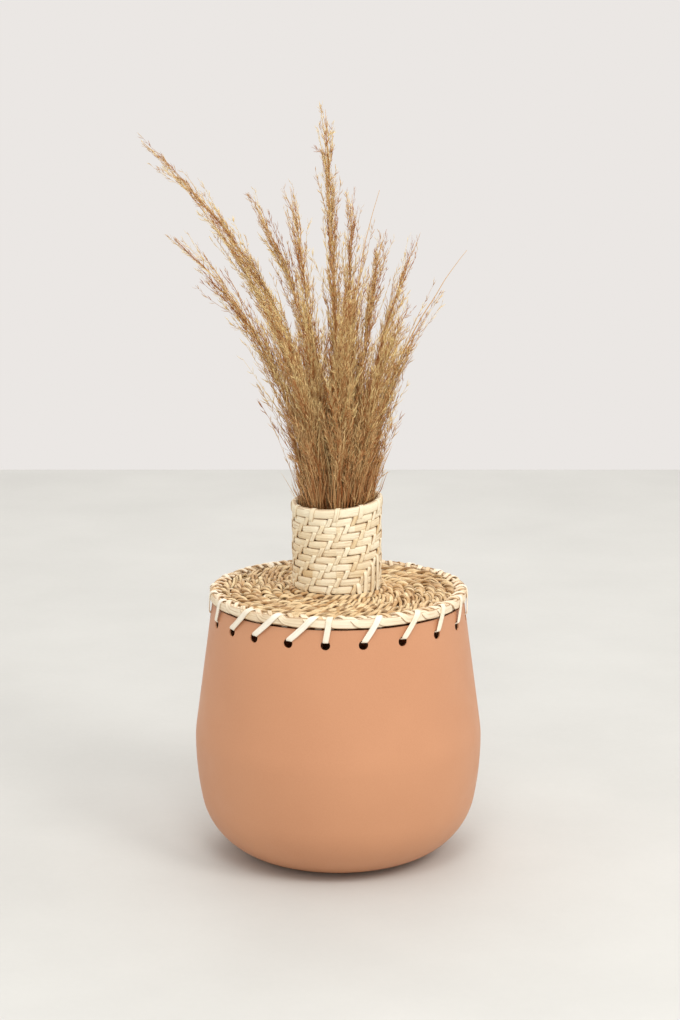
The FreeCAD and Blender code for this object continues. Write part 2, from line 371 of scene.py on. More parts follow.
def cane(name, pale, tan, brown, amount, edge_brown_and_shade):
    """Split cane: pale, with fine lines along the strand, duller stretches and brown streaks.
    The amount is how strong the streaks are; edge_brown_and_shade is how brown a strand's edges and sides
    turn, partly the real brown edges of split cane and partly painted shade."""
    s = Shader(name)
    fibre = s.attribute("fibre", "Vector")
    fine = s.noise(s.scaled(fibre, (0.035, 2.6, 2.6)), 1.0, 3.0)
    streak = s.noise(s.scaled(fibre, (0.045, 0.75, 0.75)), 1.0, 2.0)
    patch = s.noise(s.scaled(fibre, (0.06, 0.02, 0.02)), 1.0, 2.0)
    tone = s.math("ADD", s.attribute("tint"), s.spread(patch, 0.3, 0.7, -0.22, 0.22))
    colour = s.mix(s.math("MAXIMUM", s.math("MINIMUM", tone, 1.0), 0.0), pale, tan)
    colour = s.mix(s.spread(streak, 0.56, 0.74, 0.0, amount), colour, brown)
    colour = s.mix(s.spread(fine, 0.50, 0.68, 0.0, amount * 0.6), colour, brown)
    # Edges and sides turn brown: partly the real brown edges of the cane, partly painted shade where a
    # strand turns away and in the gaps between strands
    side = s.math("ADD", s.attribute("edge"), s.spread(streak, 0.3, 0.7, -0.10, 0.10))
    colour = s.mix(s.spread(side, 0.72, 1.0, 0.0, edge_brown_and_shade), colour, brown)
    s.bump(s.math("ADD", fine, streak), 0.0005, 0.55)
    return s.finish(colour, s.spread(fine, 0.3, 0.7, 0.42, 0.62), 0.4)


def grass(name, light, dark, foot, foot_amount):
    """Dried reed: golden strands, redder towards the foot by foot_amount, with painted shade darkening
    them towards the tip.
    """
    s = Shader(name)
    fibre = s.attribute("fibre", "Vector")
    vein = s.noise(s.scaled(fibre, (0.25, 1.2, 1.2)), 1.0, 2.0)
    tone = s.math("ADD", s.attribute("tint"), s.spread(vein, 0.3, 0.7, -0.18, 0.18))
    # Painted shade: the strands turn darker towards their tips, as thin backlit stalks look
    tone = s.math("ADD", tone, s.spread(s.attribute("along"), 0.0, 0.8, -0.06, 0.12), clamp=True)
    colour = s.mix(tone, light, dark)
    colour = s.mix(s.spread(s.attribute("along"), -0.05, 0.42, foot_amount, 0.0), colour, foot)
    s.bump(vein, 0.0002, 0.4)
    return s.finish(colour, s.spread(vein, 0.3, 0.7, 0.5, 0.7), 0.3)


PALE = linear(246, 235, 206)
TAN = linear(222, 194, 146)
BROWN = linear(160, 108, 54)

METAL = painted_metal()
NECK_CANE = cane("pale_neck_cane", PALE, TAN, BROWN, amount=0.40, edge_brown_and_shade=0.70)
RIM_CANE = cane("pale_rim_cane", PALE, TAN, BROWN, amount=0.32, edge_brown_and_shade=0.40)
DISC_CANE = cane("twined_disc_cane", linear(244, 220, 174), linear(196, 152, 98),
                 linear(104, 62, 30), amount=0.48, edge_brown_and_shade=0.66)
BAND_CANE = cane("border_cane", linear(248, 234, 206), linear(222, 190, 144), BROWN,
                 amount=0.45, edge_brown_and_shade=0.75)
LACE_CANE = cane("white_lacing_cane", linear(252, 245, 228), linear(240, 222, 190),
                 linear(196, 158, 110), amount=0.22, edge_brown_and_shade=0.25)
PLUME_GRASS = grass("dried_plume", linear(255, 232, 168), linear(170, 102, 46),
                    linear(176, 98, 46), foot_amount=0.55)
STEM_GRASS = grass("dried_stem", linear(198, 160, 106), linear(128, 88, 50),
                   linear(150, 104, 62), foot_amount=0.3)
TWINE = grass("jute_twine", linear(176, 138, 92), linear(110, 80, 50),
              linear(150, 104, 62), foot_amount=0.0)

frame["nodes"]["vase_body"].data.materials.clear()
frame["nodes"]["vase_body"].data.materials.append(METAL)


# ---------------------------------------------------------------- woven neck

mouth_low, mouth_high = node_box("neck_border")
row_low, row_high = node_box(NECK_ROWS[0])
top_row_low = node_box(NECK_ROWS[-1])[0]
disc_low, disc_high = node_box(DISC_ROWS[0])
edge_low, edge_high = node_box("disc_border")
EDGE_R = edge_high[0]
NECK_Z0, NECK_TOP = row_low[2], mouth_high[2]
DISC_Z = (disc_low[2] + disc_high[2]) / 2
NECK_R = row_high[0] - 1.7        # middle of the weave
ROW_WAVE = 0.75                   # how far the rows go in and out of it
ROW_PASS = 0.58                   # share of a stake's spacing in which a row crosses over
ROW_PITCH = (top_row_low[2] - row_low[2]) / (len(NECK_ROWS) - 1)
ROW_HALF_H = (row_high[2] - row_low[2]) / 2 + 0.25
ROW_HALF_T = 0.95
ROW_Z = [(node_box(n)[0][2] + node_box(n)[1][2]) / 2 for n in NECK_ROWS]
STAKE_OUT = 1.5                   # how far a stake stands out where it shows
STAKE_IN = 0.9                    # how far it goes in behind a row
STAKE_HALF_W = 2.3
STAKE_SHOWS, STAKE_FADES = 0.46, 0.40    # rows to each side: fully out, then going back in
SLANT = 2.5                       # degrees that a stake swings to each side as it shows
NECK_ASIDE = 1.3                  # the neck stands this far to the left of the disc's middle
TILT_RIGHT, TILT_BACK = 2.5, 1.8  # how much higher the mouth is on its right and at its back


def lean_neck(points):
    """The hand-made neck leans: its mouth is higher on the right and lower at the front, and
    over the disc it stands a little to the left."""
    share = np.clip((points[:, 2] - NECK_Z0) / (NECK_TOP - NECK_Z0), 0, 1.1)
    moved = points.copy()
    moved[:, 2] += share * (TILT_RIGHT * points[:, 0] / NECK_R + TILT_BACK * points[:, 1] / NECK_R)
    rise = np.clip((points[:, 2] - DISC_Z - 1.0) / (NECK_Z0 - DISC_Z), 0, 1)
    moved[:, 0] -= NECK_ASIDE * rise * rise * (3 - 2 * rise)
    return moved


def shown_stake(row):
    """Every third stake shows in a row, one further to the left in each row down."""
    return (2 - (len(NECK_ROWS) - 1 - row)) % 3


def woven_row(row):
    """A flat strip that passes over two stakes and under one, all the way round."""
    steps = STAKES * 9
    degrees = np.arange(steps) * 360.0 / steps
    place = (degrees - STAKE_TURN) / STAKE_STEP
    offset = np.mod(place - shown_stake(row), 3)
    near = np.minimum(offset, 3 - offset)
    wave = -np.cos(math.pi * np.minimum(near / ROW_PASS, 1))
    radius = NECK_R + ROW_WAVE * wave + wander(steps, 24, 0.10, True)
    z = ROW_Z[row] + wander(steps, 16, 0.22, True) + 0.25 * np.sin(np.radians(degrees * 3 + row * 70))
    path = polar(radius, degrees, z)
    side = np.zeros_like(path)
    side[:, 2] = ROW_HALF_H * (1.0 + wander(steps, 20, 0.03, True)) * (0.93 + 0.07 * wave)
    up = unit(np.cross(tangents(path, True), side)) * ROW_HALF_T
    pile = Pile()
    pile.tube(path, side, up, strip_tints(steps, 34, 1.4, 3.2), closed=True, power=2.3, around=14)
    pile.move(lean_neck)
    return pile.piece(f"woven_{NECK_ROWS[row]}", "vase", [NECK_ROWS[row]], NECK_CANE)


for row in range(len(NECK_ROWS)):
    woven_row(row)


def flat_strip(pile, rows, half_width, half_thickness, tint):
    """A flat strip through (radius, angle, height) rows, with its width round the neck."""
    path = polar(rows[:, 0], rows[:, 1], rows[:, 2])
    around = unit(np.cross(UP, outward(rows[:, 1])))
    up = unit(np.cross(tangents(path), around))
    width = np.broadcast_to(half_width, len(path))
    pile.tube(path, around * width[:, None], up * half_thickness, tint, power=3.0, around=12)


def stake_path(number):
    """A stake from inside the disc's edge, through the bend at the neck's foot, to the mouth."""
    angle = STAKE_TURN + STAKE_STEP * number
    flat_r = np.linspace(EDGE_R - 5.0, NECK_R + 9.1, 26)
    disc = [(r, angle, DISC_Z + 0.35 * math.sin(r * 0.7 + number * 3.14)) for r in flat_r]
    bend = [(NECK_R + 5.1, angle, DISC_Z + 0.6), (NECK_R + 1.7, angle, DISC_Z + 2.6),
            (NECK_R, angle, DISC_Z + 6.0)]
    rise = []
    for z in np.arange(NECK_Z0 + 1.0, mouth_low[2] + 3.0, ROW_PITCH / 10):
        row = (z - ROW_Z[0]) / ROW_PITCH
        shown = (number - shown_stake(0)) % 3
        offset = (row - shown + 1.5) % 3 - 1.5
        fall = min(max((abs(offset) - STAKE_SHOWS) / STAKE_FADES, 0), 1)
        out = 1 - fall * fall * (3 - 2 * fall)
        radius = NECK_R - STAKE_IN + (STAKE_OUT + STAKE_IN) * out
        rise.append((radius, angle + SLANT * math.sin(math.pi * offset / 1.5), z))
    return np.array(disc + bend + rise)


# Spare ends tucked in at the right of the neck's foot: angle, height over the disc, lean
SPARE_ENDS = [(30.0, 16.0, -1.5), (38.5, 25.0, 1.0), (50.5, 31.0, 2.0), (62.0, 37.0, 1.0)]


def stakes():
    """The 33 stakes with the spare ends, as one piece."""
    pile = Pile()
    for number in range(STAKES):
        rows = stake_path(number)
        width = STAKE_HALF_W * (1 + wander(len(rows), 14, 0.05))
        flat_strip(pile, rows, width, 0.62, rng.beta(1.6, 2.2))
    for angle, height, lean in SPARE_ENDS:
        rows = smooth_path([(NECK_R + 0.6, angle, DISC_Z + 2.5), (NECK_R + 2.3, angle, DISC_Z + 7.0),
                            (NECK_R + 2.5, angle + lean * 0.6, DISC_Z + height * 0.6),
                            (NECK_R + 2.2, angle + lean, DISC_Z + height - 2.0),
                            (NECK_R - 0.6, angle + lean, DISC_Z + height + 2.5)], 24)
        flat_strip(pile, rows, STAKE_HALF_W, 0.6, rng.beta(1.2, 4))
    pile.move(lean_neck)
    return pile.piece("cane_stakes_bent", "vase", ["cane_stakes"], NECK_CANE)


stakes()


MOUTH_Z = (mouth_low[2] + mouth_high[2]) / 2
# Outer, inner and top strand of the mouth: radius, height, half-height, half-thickness, tint
MOUTH_STRANDS = [(NECK_R + 1.2, MOUTH_Z - 0.3, 4.1, 1.15, 0.12),
                 (NECK_R - 1.3, MOUTH_Z - 0.2, 3.7, 1.0, 0.30),
                 (NECK_R, NECK_TOP - 1.5, 1.3, 2.0, 0.10)]
# A wrap from outside to inside: distance out of the weave's middle, angle past its stake,
# height over the mouth's top
WRAP = [(0.7, -3.6, -12.4), (2.3, -2.6, -9.8), (2.7, -1.6, -6.4), (2.6, -0.6, -3.0),
        (1.8, 0.0, -0.7), (0.0, 0.6, 0.1), (-1.9, 1.0, -1.0), (-2.7, 1.2, -4.9), (-2.4, 1.3, -8.9)]


def mouth_border():
    """Three strands round the mouth, with a wrap over them at every third stake."""
    pile = Pile()
    steps = STAKES * 6
    degrees = np.arange(steps) * 360.0 / steps
    for radius, z, half_height, half_thickness, tint in MOUTH_STRANDS:
        path = polar(radius + wander(steps, 22, 0.15, True), degrees, z + wander(steps, 18, 0.25, True))
        up = outward(degrees) * half_thickness
        side = np.zeros_like(path)
        side[:, 2] = half_height
        pile.tube(path, side, up, tint + wander(steps, 30, 0.10, True), closed=True, power=2.6, around=12)
    for number in range(0, STAKES, 3):
        angle = STAKE_TURN + STAKE_STEP * number + rng.normal(0, 0.7)
        rows = smooth_path(np.array(WRAP) + (NECK_R, angle, NECK_TOP), 34)
        flat_strip(pile, rows, STAKE_HALF_W, 0.4, 0.1 + 0.2 * rng.random())
    pile.move(lean_neck)
    return pile.piece("wrapped_mouth_border", "vase", ["neck_border"], RIM_CANE)


mouth_border()


# ---------------------------------------------------------------- twined disc

SWING_OUT, SWING_UP = 2.6, 2.15   # how far a strand swings off the middle of its pair
CANE_ASIDE = 1.7                  # how far each of a strand's two canes is off its middle
CANE_HALF_W, CANE_HALF_T = 1.65, 1.35


def twined_row(number):
    """Two strands twisted round each other and round the stakes, each made of two thin canes
    side by side. The number of stakes is odd, so the pair is one strand that goes round twice."""
    name = DISC_ROWS[number]
    low, high = node_box(name)
    middle = high[0] - (high[2] - low[2]) / 2
    steps = STAKES * 2 * 12
    degrees = np.arange(steps) * 720.0 / steps
    half_turns = (degrees - STAKE_TURN) / STAKE_STEP
    phase = math.pi * (half_turns + 0.5 + wander(steps, 90, 0.07, True))
    once = steps // 2
    shift = np.tile(wander(once, 26, 0.55, True), 2)
    lift = np.tile(wander(once, 22, 0.45, True), 2)
    radial = SWING_OUT * np.cos(phase) * (1 + wander(steps, 70, 0.12, True))
    vertical = SWING_UP * np.sin(phase) * (1 + wander(steps, 70, 0.10, True))
    path = polar(middle + shift + radial, degrees, DISC_Z + lift + vertical)
    normal = unit(outward(degrees) * np.cos(phase)[:, None] / SWING_OUT
                  + UP * np.sin(phase)[:, None] / SWING_UP)
    side, normal = facing(path, normal, True)
    pile = Pile()
    for ply in (-1, 1):
        width = CANE_HALF_W * (1 + wander(steps, 90, 0.16, True))
        thick = CANE_HALF_T * (1 + wander(steps, 80, 0.10, True))
        tint = strip_tints(steps, 26, 1.2, 1.7)
        beside = ply * CANE_ASIDE + wander(steps, 120, 0.6, True)
        strand = path + side * beside[:, None] + normal * wander(steps, 120, 0.7, True)[:, None]
        pile.tube(strand, side * width[:, None], normal * thick[:, None], tint,
                  closed=True, power=2.2, around=10)
    if number == 0:
        # The first row has a second, thinner pair that climbs onto the bend of the stakes
        slim = polar(middle - 3.9 + radial * 0.55, degrees, DISC_Z + 4.6 + vertical * 0.75)
        side, normal = facing(slim, normal, True)
        pile.tube(slim, side * width[:, None] * 1.3, normal * thick[:, None] * 0.85,
                  np.roll(tint, 90), closed=True, power=2.3, around=12)
    return pile.piece(f"twined_{name}", "vase", [name], DISC_CANE)


for number in range(len(DISC_ROWS)):
    twined_row(number)


EDGE_Z = (edge_low[2] + edge_high[2]) / 2 + 0.35


def faced_path(rows):
    """Path, side and outer direction of a strip through rows of radius, angle, height and
    the direction of the outer face in degrees above level."""
    path = polar(rows[:, 0], rows[:, 1], rows[:, 2])
    side, up = facing(path, outward(rows[:, 1], rows[:, 3]))
    return path, side, up


def edge_core(pile):
    """The thick strand that the stakes are bent over."""
    steps = STAKES * 8
    degrees = np.arange(steps) * 360.0 / steps
    path = polar(EDGE_R - 3.4, degrees, EDGE_Z)
    side = outward(degrees) * 2.2
    up = np.zeros_like(path)
    up[:, 2] = 3.9
    pile.tube(path, side, up, 0.30 + wander(steps, 40, 0.12, True), closed=True, power=3.0, around=12)


def bent_stake(pile, number):
    """A stake's end that comes over the edge and lies along it over its neighbour."""
    angle = STAKE_TURN + STAKE_STEP * (number + 0.5) + rng.normal(0, 0.5)
    reach = STAKE_STEP * rng.uniform(1.02, 1.2)
    top_z = EDGE_Z + rng.normal(4.5, 0.5)
    # As in faced_path, and how much the strip is flattened
    rows = smooth_path([
        (EDGE_R - 9.0, angle - 2.6, EDGE_Z + 3.0, 100, 0),
        (EDGE_R - 4.6, angle - 1.4, top_z, 82, 0.05),
        (EDGE_R - 1.2, angle + 0.6, EDGE_Z + 3.1, 40, 0.35),
        (EDGE_R - 0.35, angle + 2.6, EDGE_Z + 0.6, 6, 0.80),
        (EDGE_R - 0.15, angle + 5.0, EDGE_Z + 0.05, 0, 1),
        (EDGE_R - 0.25, angle + reach * 0.7, EDGE_Z - 0.05, 0, 1),
        (EDGE_R - 0.8, angle + reach, EDGE_Z - 0.1, 0, 1),
        (EDGE_R - 1.7, angle + reach + 2.0, EDGE_Z, 0, 1),
    ], 34)
    path, side, up = faced_path(rows)
    flat = np.clip(rows[:, 4], 0, 1)[:, None]
    half = (2.5 + 1.4 * flat) * (1 + wander(len(path), 5, 0.06))[:, None]
    pile.tube(path, side * half, up * (1.15 - 0.6 * flat), rng.beta(1.1, 2.4), power=2.8, around=12)


def short_end(pile, number):
    """A short end that lies over the edge between two stakes."""
    angle = STAKE_TURN + STAKE_STEP * (number + rng.uniform(-0.1, 0.25))
    rows = smooth_path([
        (EDGE_R - 10.5, angle - 2.8, EDGE_Z + 2.2, 110),
        (EDGE_R - 6.6, angle - 1.2, EDGE_Z + rng.normal(4.6, 0.4), 90),
        (EDGE_R - 2.8, angle + 0.6, EDGE_Z + 4.1, 65),
        (EDGE_R - 0.9, angle + 1.8, EDGE_Z + 1.8, 25),
    ], 20)
    path, side, up = faced_path(rows)
    pile.tube(path, side * rng.uniform(1.7, 2.4), up * 1.1, rng.beta(1.6, 2.0), power=2.3, around=10)


def edge_band():
    """The disc's edge, with its core, the stakes bent over it and the short ends."""
    pile = Pile()
    edge_core(pile)
    for number in range(STAKES):
        bent_stake(pile, number)
    for number in range(STAKES):
        short_end(pile, number)
    return pile.piece("disc_edge_band", "vase", ["disc_border"], BAND_CANE)


edge_band()


# ---------------------------------------------------------------- lacing

# Angle of each hole and how far its stitch leans round to the right, for the ones in front
STITCHES = [(-69.3, 5.8), (-54.0, 12.6), (-39.5, 13.3), (-22.1, 12.4), (-5.5, 2.0),
            (10.9, 7.6), (29.0, 8.6), (48.5, 5.0), (65.7, 5.8)]
BACK_STITCHES = 12
BACK_LEAN, BACK_LEAN_VARIES = 8.6, 2.0
last_hole = STITCHES[-1][0]
hole_step = (360 + STITCHES[0][0] - last_hole) / (BACK_STITCHES + 1)
STITCHES += [(last_hole + hole_step * (i + 1), BACK_LEAN + BACK_LEAN_VARIES * math.sin(i * 2.1))
             for i in range(BACK_STITCHES)]
HOLE_Z = RIM_Z - 12.5
EDGE_TOP = edge_high[2]


def lacing():
    """The flat stitches, each out of its hole, up over the disc's edge and down behind it."""
    pile = Pile()
    for hole, lean in STITCHES:
        # radius, share of the lean, height, direction of the outer face above level
        rows = smooth_path([
            (EDGE_R - 7.0, 0.00, HOLE_Z + 1.5, -90),
            (EDGE_R - 2.4, 0.02, HOLE_Z + 2.1, -85),
            (EDGE_R + 0.2, 0.04, HOLE_Z + 2.6, -55),
            (EDGE_R + 1.0, 0.10, HOLE_Z + 4.2, -8),
            (EDGE_R + 1.0, 0.34, HOLE_Z + 9.5, 2),
            (EDGE_R + 1.0, 0.62, HOLE_Z + 16.0, 0),
            (EDGE_R + 0.6, 0.82, EDGE_TOP - 1.4, 22),
            (EDGE_R - 1.4, 0.95, EDGE_TOP + 0.9, 70),
            (EDGE_R - 4.4, 1.02, EDGE_TOP + 0.7, 105),
            (EDGE_R - 6.8, 1.04, EDGE_TOP - 1.6, 150),
            (EDGE_R - 7.3, 1.05, EDGE_TOP - 6.0, 178),
            (EDGE_R - 7.4, 1.05, EDGE_TOP - 13.0, 180),
        ], 56)
        rows[:, 1] = hole + lean * rows[:, 1]
        path, side, up = faced_path(rows)
        # Narrower where it comes out of the hole
        half = np.minimum(2.2 + np.linspace(0, 1.6, len(path)), 2.6) * (1 + wander(len(path), 6, 0.03))
        pile.tube(path, side * half[:, None], up * 0.5, rng.beta(1.2, 4), power=3.6, around=12)
    return pile.piece("cane_lacing_stitches", "vase", ["lacing"], LACE_CANE)


lacing()


# ---------------------------------------------------------------- dried bunch

# How full each plume is, how wide its branchlets stand, and the share of it that is bare at its tip
HABITS = [(0.95, 1.0, 0.04), (0.8, 0.9, 0.12), (1.0, 1.15, 0.08), (1.0, 1.3, 0.06), (1.0, 1.2, 0.06),
          (1.1, 1.1, 0.05), (1.1, 1.35, 0.06), (0.9, 1.0, 0.24), (1.1, 1.1, 0.08), (0.9, 1.0, 0.10),
          (0.8, 0.8, 0.36), (1.1, 1.1, 0.06), (1.2, 1.2, 0.06), (1.1, 1.1, 0.08)]
STALK_POINTS = 48
BRANCHLETS_PER_MM = 0.70          # of a plume whose fullness is 1
BRANCH_POINTS = 7
STRAYS = 0.06                     # share of the branchlets that stand out from the rest
SPIKELETS = 18                    # on each branchlet
SHEATHS = 230                     # short hairs at the foot of each plume
SHEATH_RADII = np.array([0.16, 0.34, 0.36, 0.30, 0.2, 0.06])
SPIKELET_RADII = np.array([0.10, 0.26, 0.05])
BUNCH_SPREAD = 110.0              # a hair this far from the bunch's middle leans at 45 degrees
NECK_CLEAR_R = 33.0               # the neck is clear inside this radius
CLEAR_GROWS = 4.0                 # how fast that radius grows over the mouth
STEM_BEND_Z = 190.0               # the stems stand upright below this and fan out above it


def around_axis(run, degrees):
    """Unit vectors square to each direction, turned round it by an angle."""
    aside = unit(np.cross(run, np.array([0.13, 0.97, 0.05])))
    over = np.cross(run, aside)
    turn = np.radians(degrees)[..., None]
    return np.cos(turn) * aside + np.sin(turn) * over


def within_neck(points):
    """Hairs that start inside the neck keep clear of its wall until they are over the mouth."""
    middle = np.array([-NECK_ASIDE, 0.0])
    offset = points[:, :2] - middle
    limit = NECK_CLEAR_R + CLEAR_GROWS * np.maximum(points[:, 2] - NECK_TOP - 2.0, 0)
    moved = points.copy()
    moved[:, :2] = middle + offset * np.minimum(1, limit / np.linalg.norm(offset, axis=1))[:, None]
    return moved


class Stalk:
    """The middle line of a CAD plume, as cubic lines x(t) and y(t) from its foot to its tip."""

    def __init__(self, name):
        points = node_points(name)
        self.z0 = points[:, 2].min()
        self.height = points[:, 2].max() - self.z0
        t = (points[:, 2] - self.z0) / self.height
        self.fit_x = np.polyfit(t, points[:, 0], 3)
        self.fit_y = np.polyfit(t, points[:, 1], 3)

    def point(self, t):
        """The middle at t; below the CAD plume it goes straight on down into the neck."""
        t = np.asarray(t, float)
        inside = np.clip(t, 0, 1)
        middle = np.stack([np.polyval(self.fit_x, inside), np.polyval(self.fit_y, inside),
                           self.z0 + self.height * t], axis=-1)
        slope = np.array([self.fit_x[2], self.fit_y[2], 0])
        return middle + np.minimum(t, 0)[..., None] * slope


def bare_stalk(pile, stalk):
    """The stalk itself, thinner towards its tip."""
    t = np.linspace(-0.05, 1.0, STALK_POINTS)
    line = stalk.point(t)
    line[:, 0] += wander(STALK_POINTS, 12, 0.7)
    pile.hairs(line[None], np.linspace(1.2, 0.16, STALK_POINTS)[None], np.array([0.55]),
               np.clip(t, 0, 1)[None], sides=6)


def branchlets(pile, stalk, fullness, width, bare):
    """Branchlets that leave the stalk at a narrow angle and bend up with it. Gives back where
    each starts on the stalk, its path and its tint."""
    count = int(stalk.height * BRANCHLETS_PER_MM * fullness)
    start = -0.07 + (1.05 - bare) * rng.beta(0.9, 1.40, count)
    base = stalk.point(start)
    run = unit(stalk.point(start + 0.02) - base)
    out = around_axis(run, rng.uniform(0, 360, count))
    # Shorter towards the tip of the plume, and none reaches far past it
    reach = np.minimum(92 - 50 * start, (1.03 - start) * stalk.height + 4)
    length = reach * rng.uniform(0.4, 1.0, count)
    narrow = 1.22 - 0.62 * np.clip(start, 0, 1)
    angle = np.radians(rng.gamma(4.0, 2.3, count) * width * narrow + 2.0)
    stray = rng.random(count) < STRAYS
    angle = np.where(stray, angle + np.radians(rng.uniform(12, 34, count)), angle)
    length = np.where(stray, length * 0.6, length)
    s = np.linspace(0, 1, BRANCH_POINTS)[None, :, None]
    along_run = run[:, None] * (length * np.cos(angle))[:, None, None] * s
    aside = out[:, None] * (length * np.sin(angle))[:, None, None] * (s - 0.28 * s ** 2)
    ahead = np.clip(start + length / stalk.height, 0, 1)
    bend = (stalk.point(ahead) - base - run * length[:, None])[:, None] * s ** 2 * 0.8
    sway = rng.normal(0, 2.4, (count, 1, 3)) * s ** 2 + rng.normal(0, 1.2, (count, 1, 3)) * np.sin(s * 5)
    paths = base[:, None] + along_run + aside + bend + sway
    tint = rng.beta(0.8, 1.15, count)
    along = np.clip(start[:, None] + np.linspace(0, 0.15, BRANCH_POINTS)[None], 0, 1)
    radii = np.linspace(0.30, 0.10, BRANCH_POINTS)[None] * np.ones((count, 1))
    pile.hairs(paths, radii, tint + 0.12, along)
    return start, paths, tint


def spikelets(pile, start, branches, tint):
    """Small pointed grains along each branchlet."""
    count = len(branches)
    size = (count, SPIKELETS)
    low = np.clip(start, 0, 1)
    place = rng.uniform(0.12, 1.0, size) * (BRANCH_POINTS - 1)
    i = np.minimum(place.astype(int), BRANCH_POINTS - 2)
    f = (place - i)[..., None]
    rows = np.arange(count)[:, None]
    base = branches[rows, i] * (1 - f) + branches[rows, i + 1] * f
    run = unit(branches[rows, i + 1] - branches[rows, i])
    out = around_axis(run, rng.uniform(0, 360, size))
    angle = np.radians(rng.uniform(8, 34, size))[..., None]
    reach = rng.uniform(4.0, 9.5, size)[..., None] * (1.1 - 0.45 * low)[:, None, None]
    tip = base + (run * np.cos(angle) + out * np.sin(angle)) * reach
    middle = (base + tip) / 2 + out * reach * 0.05
    grains = np.stack([base, middle, tip], axis=2).reshape(-1, 3, 3)
    many = len(grains)
    radii = SPIKELET_RADII[None] * rng.uniform(0.4, 1.5, many)[:, None]
    radii *= np.repeat(1.1 - 0.3 * low, SPIKELETS)[:, None]
    tint = np.clip(np.repeat(tint, SPIKELETS) + rng.normal(0, 0.22, many), 0, 1)
    along = np.clip(np.repeat(start, SPIKELETS)[:, None] + 0.1 + np.zeros((1, 3)), 0, 1)
    pile.hairs(grains, radii, tint, along)


def sheath_hairs(pile, stalk):
    """Short hairs that fill the mouth round the stem."""
    angle = rng.uniform(0, 360, SHEATHS)
    spread = 8.5 * np.sqrt(rng.random(SHEATHS))
    foot = stalk.point(np.zeros(SHEATHS)) + polar(spread, angle, rng.uniform(-24, 34, SHEATHS))
    length = rng.uniform(12, 46, SHEATHS)
    s = np.linspace(0, 1, len(SHEATH_RADII))[None, :, None]
    lean = np.radians(rng.gamma(2.0, 3.4, SHEATHS))
    heading = np.stack([foot[:, 0] / BUNCH_SPREAD, foot[:, 1] / BUNCH_SPREAD, np.ones(SHEATHS)], axis=-1)
    heading = unit(heading) + polar(np.sin(lean), rng.uniform(0, 360, SHEATHS), 0.0)
    strands = foot[:, None] + unit(heading)[:, None] * length[:, None, None] * s
    strands += rng.normal(0, 1.6, (SHEATHS, 1, 3)) * s ** 2
    along = np.clip((strands[..., 2] - stalk.z0) / stalk.height, 0, 1)
    radii = SHEATH_RADII[None] * rng.uniform(0.5, 1.3, SHEATHS)[:, None]
    pile.hairs(strands, radii, rng.beta(1.2, 1.2, SHEATHS), along)


def feather(number):
    """A reed plume: a fine stalk, its branchlets with their spikelets, and hairs at its foot."""
    name = PLUMES[number]
    stalk = Stalk(name)
    pile = Pile()
    bare_stalk(pile, stalk)
    start, branches, tint = branchlets(pile, stalk, *HABITS[number])
    spikelets(pile, start, branches, tint)
    sheath_hairs(pile, stalk)
    pile.move(within_neck)
    return pile.piece(f"feathery_{name}", "bunch", [name], PLUME_GRASS)


for number in range(len(PLUMES)):
    feather(number)


# The joints of a stem: the least share of its length that each is at, and how much further up
REED_JOINTS = [(0.14, 0.05), (0.42, 0.06), (0.72, 0.05)]


def reed(name):
    """A reed stem with swollen joints and a dry sheath over each."""
    points = node_points(name)
    z0, z1 = points[:, 2].min(), points[:, 2].max()
    foot = points[points[:, 2] < z0 + 1.0].mean(axis=0)
    bend = np.array([foot[0], foot[1], STEM_BEND_Z])
    top = points[points[:, 2] > z1 - 1.5].mean(axis=0)
    count = 90
    path = smooth_path([foot, (foot + bend) / 2, bend * 0.97 + foot * 0.03, bend * 0.93 + top * 0.07,
                        (bend + top) / 2, top], count)
    t = np.linspace(0, 1, count)
    radius = 1.5 - 0.25 * t
    for lowest, further in REED_JOINTS:
        joint = lowest + rng.uniform(0, further)
        swelling = 0.26 * np.exp(-((t - joint) / 0.012) ** 2)
        sheath = 0.12 * ((t > joint) & (t < joint + 0.12))
        radius = radius + swelling + sheath
    side, up = facing(path, np.array([0.0, 1.0, 0.0]))
    pile = Pile()
    pile.tube(path, side * radius[:, None], up * radius[:, None], 0.25 + wander(count, 9, 0.12))
    return pile.piece(f"reed_{name}", "bunch", [name], STEM_GRASS)


for name in STEMS:
    reed(name)


TWINE_TURNS = 4
TWINE_TWISTS = 22                 # in each turn round the bunch
PLY_ASIDE, PLY_R = 0.42, 0.5      # how far a ply is off the twine's middle, and its radius
TWINE_END_R = 0.75


def twine_tie():
    """Two-ply twine wound four times round the bunch, with two loose ends."""
    low, high = node_box("bunch_tie")
    at = np.linspace(0, 1, 720)
    angle = 360 * TWINE_TURNS * at
    radius = high[0] - 0.95
    centre = polar(radius, angle, low[2] + 1.0 + (high[2] - low[2] - 2.0) * at)
    pile = Pile()
    for ply in (0, 180):
        twist = np.radians(angle * TWINE_TWISTS + ply)
        path = centre + outward(angle) * (PLY_ASIDE * np.cos(twist))[:, None]
        path[:, 2] += PLY_ASIDE * np.sin(twist)
        side, up = facing(path, UP)
        pile.tube(path, side * PLY_R, up * PLY_R, 0.4 + 0.2 * np.sin(twist), around=6)
    for turn, drop in ((6, -14), (16, -11)):
        rows = smooth_path([(radius + 0.3, turn, high[2] - 3.0),
                            (radius + 1.6, turn + 5, high[2] - 4.5),
                            (radius + 1.9, turn + 11, high[2] - 9.0),
                            (radius + 1.2, turn + 14, high[2] + drop)], 24)
        path = polar(rows[:, 0], rows[:, 1], rows[:, 2])
        side, up = facing(path, outward(rows[:, 1]))
        pile.tube(path, side * TWINE_END_R, up * TWINE_END_R, 0.4, around=8)
    return pile.piece("twine_wound_tie", "bunch", ["bunch_tie"], TWINE)


twine_tie()


# ---------------------------------------------------------------- floor, light and camera

FLOOR_HALF = 1.73


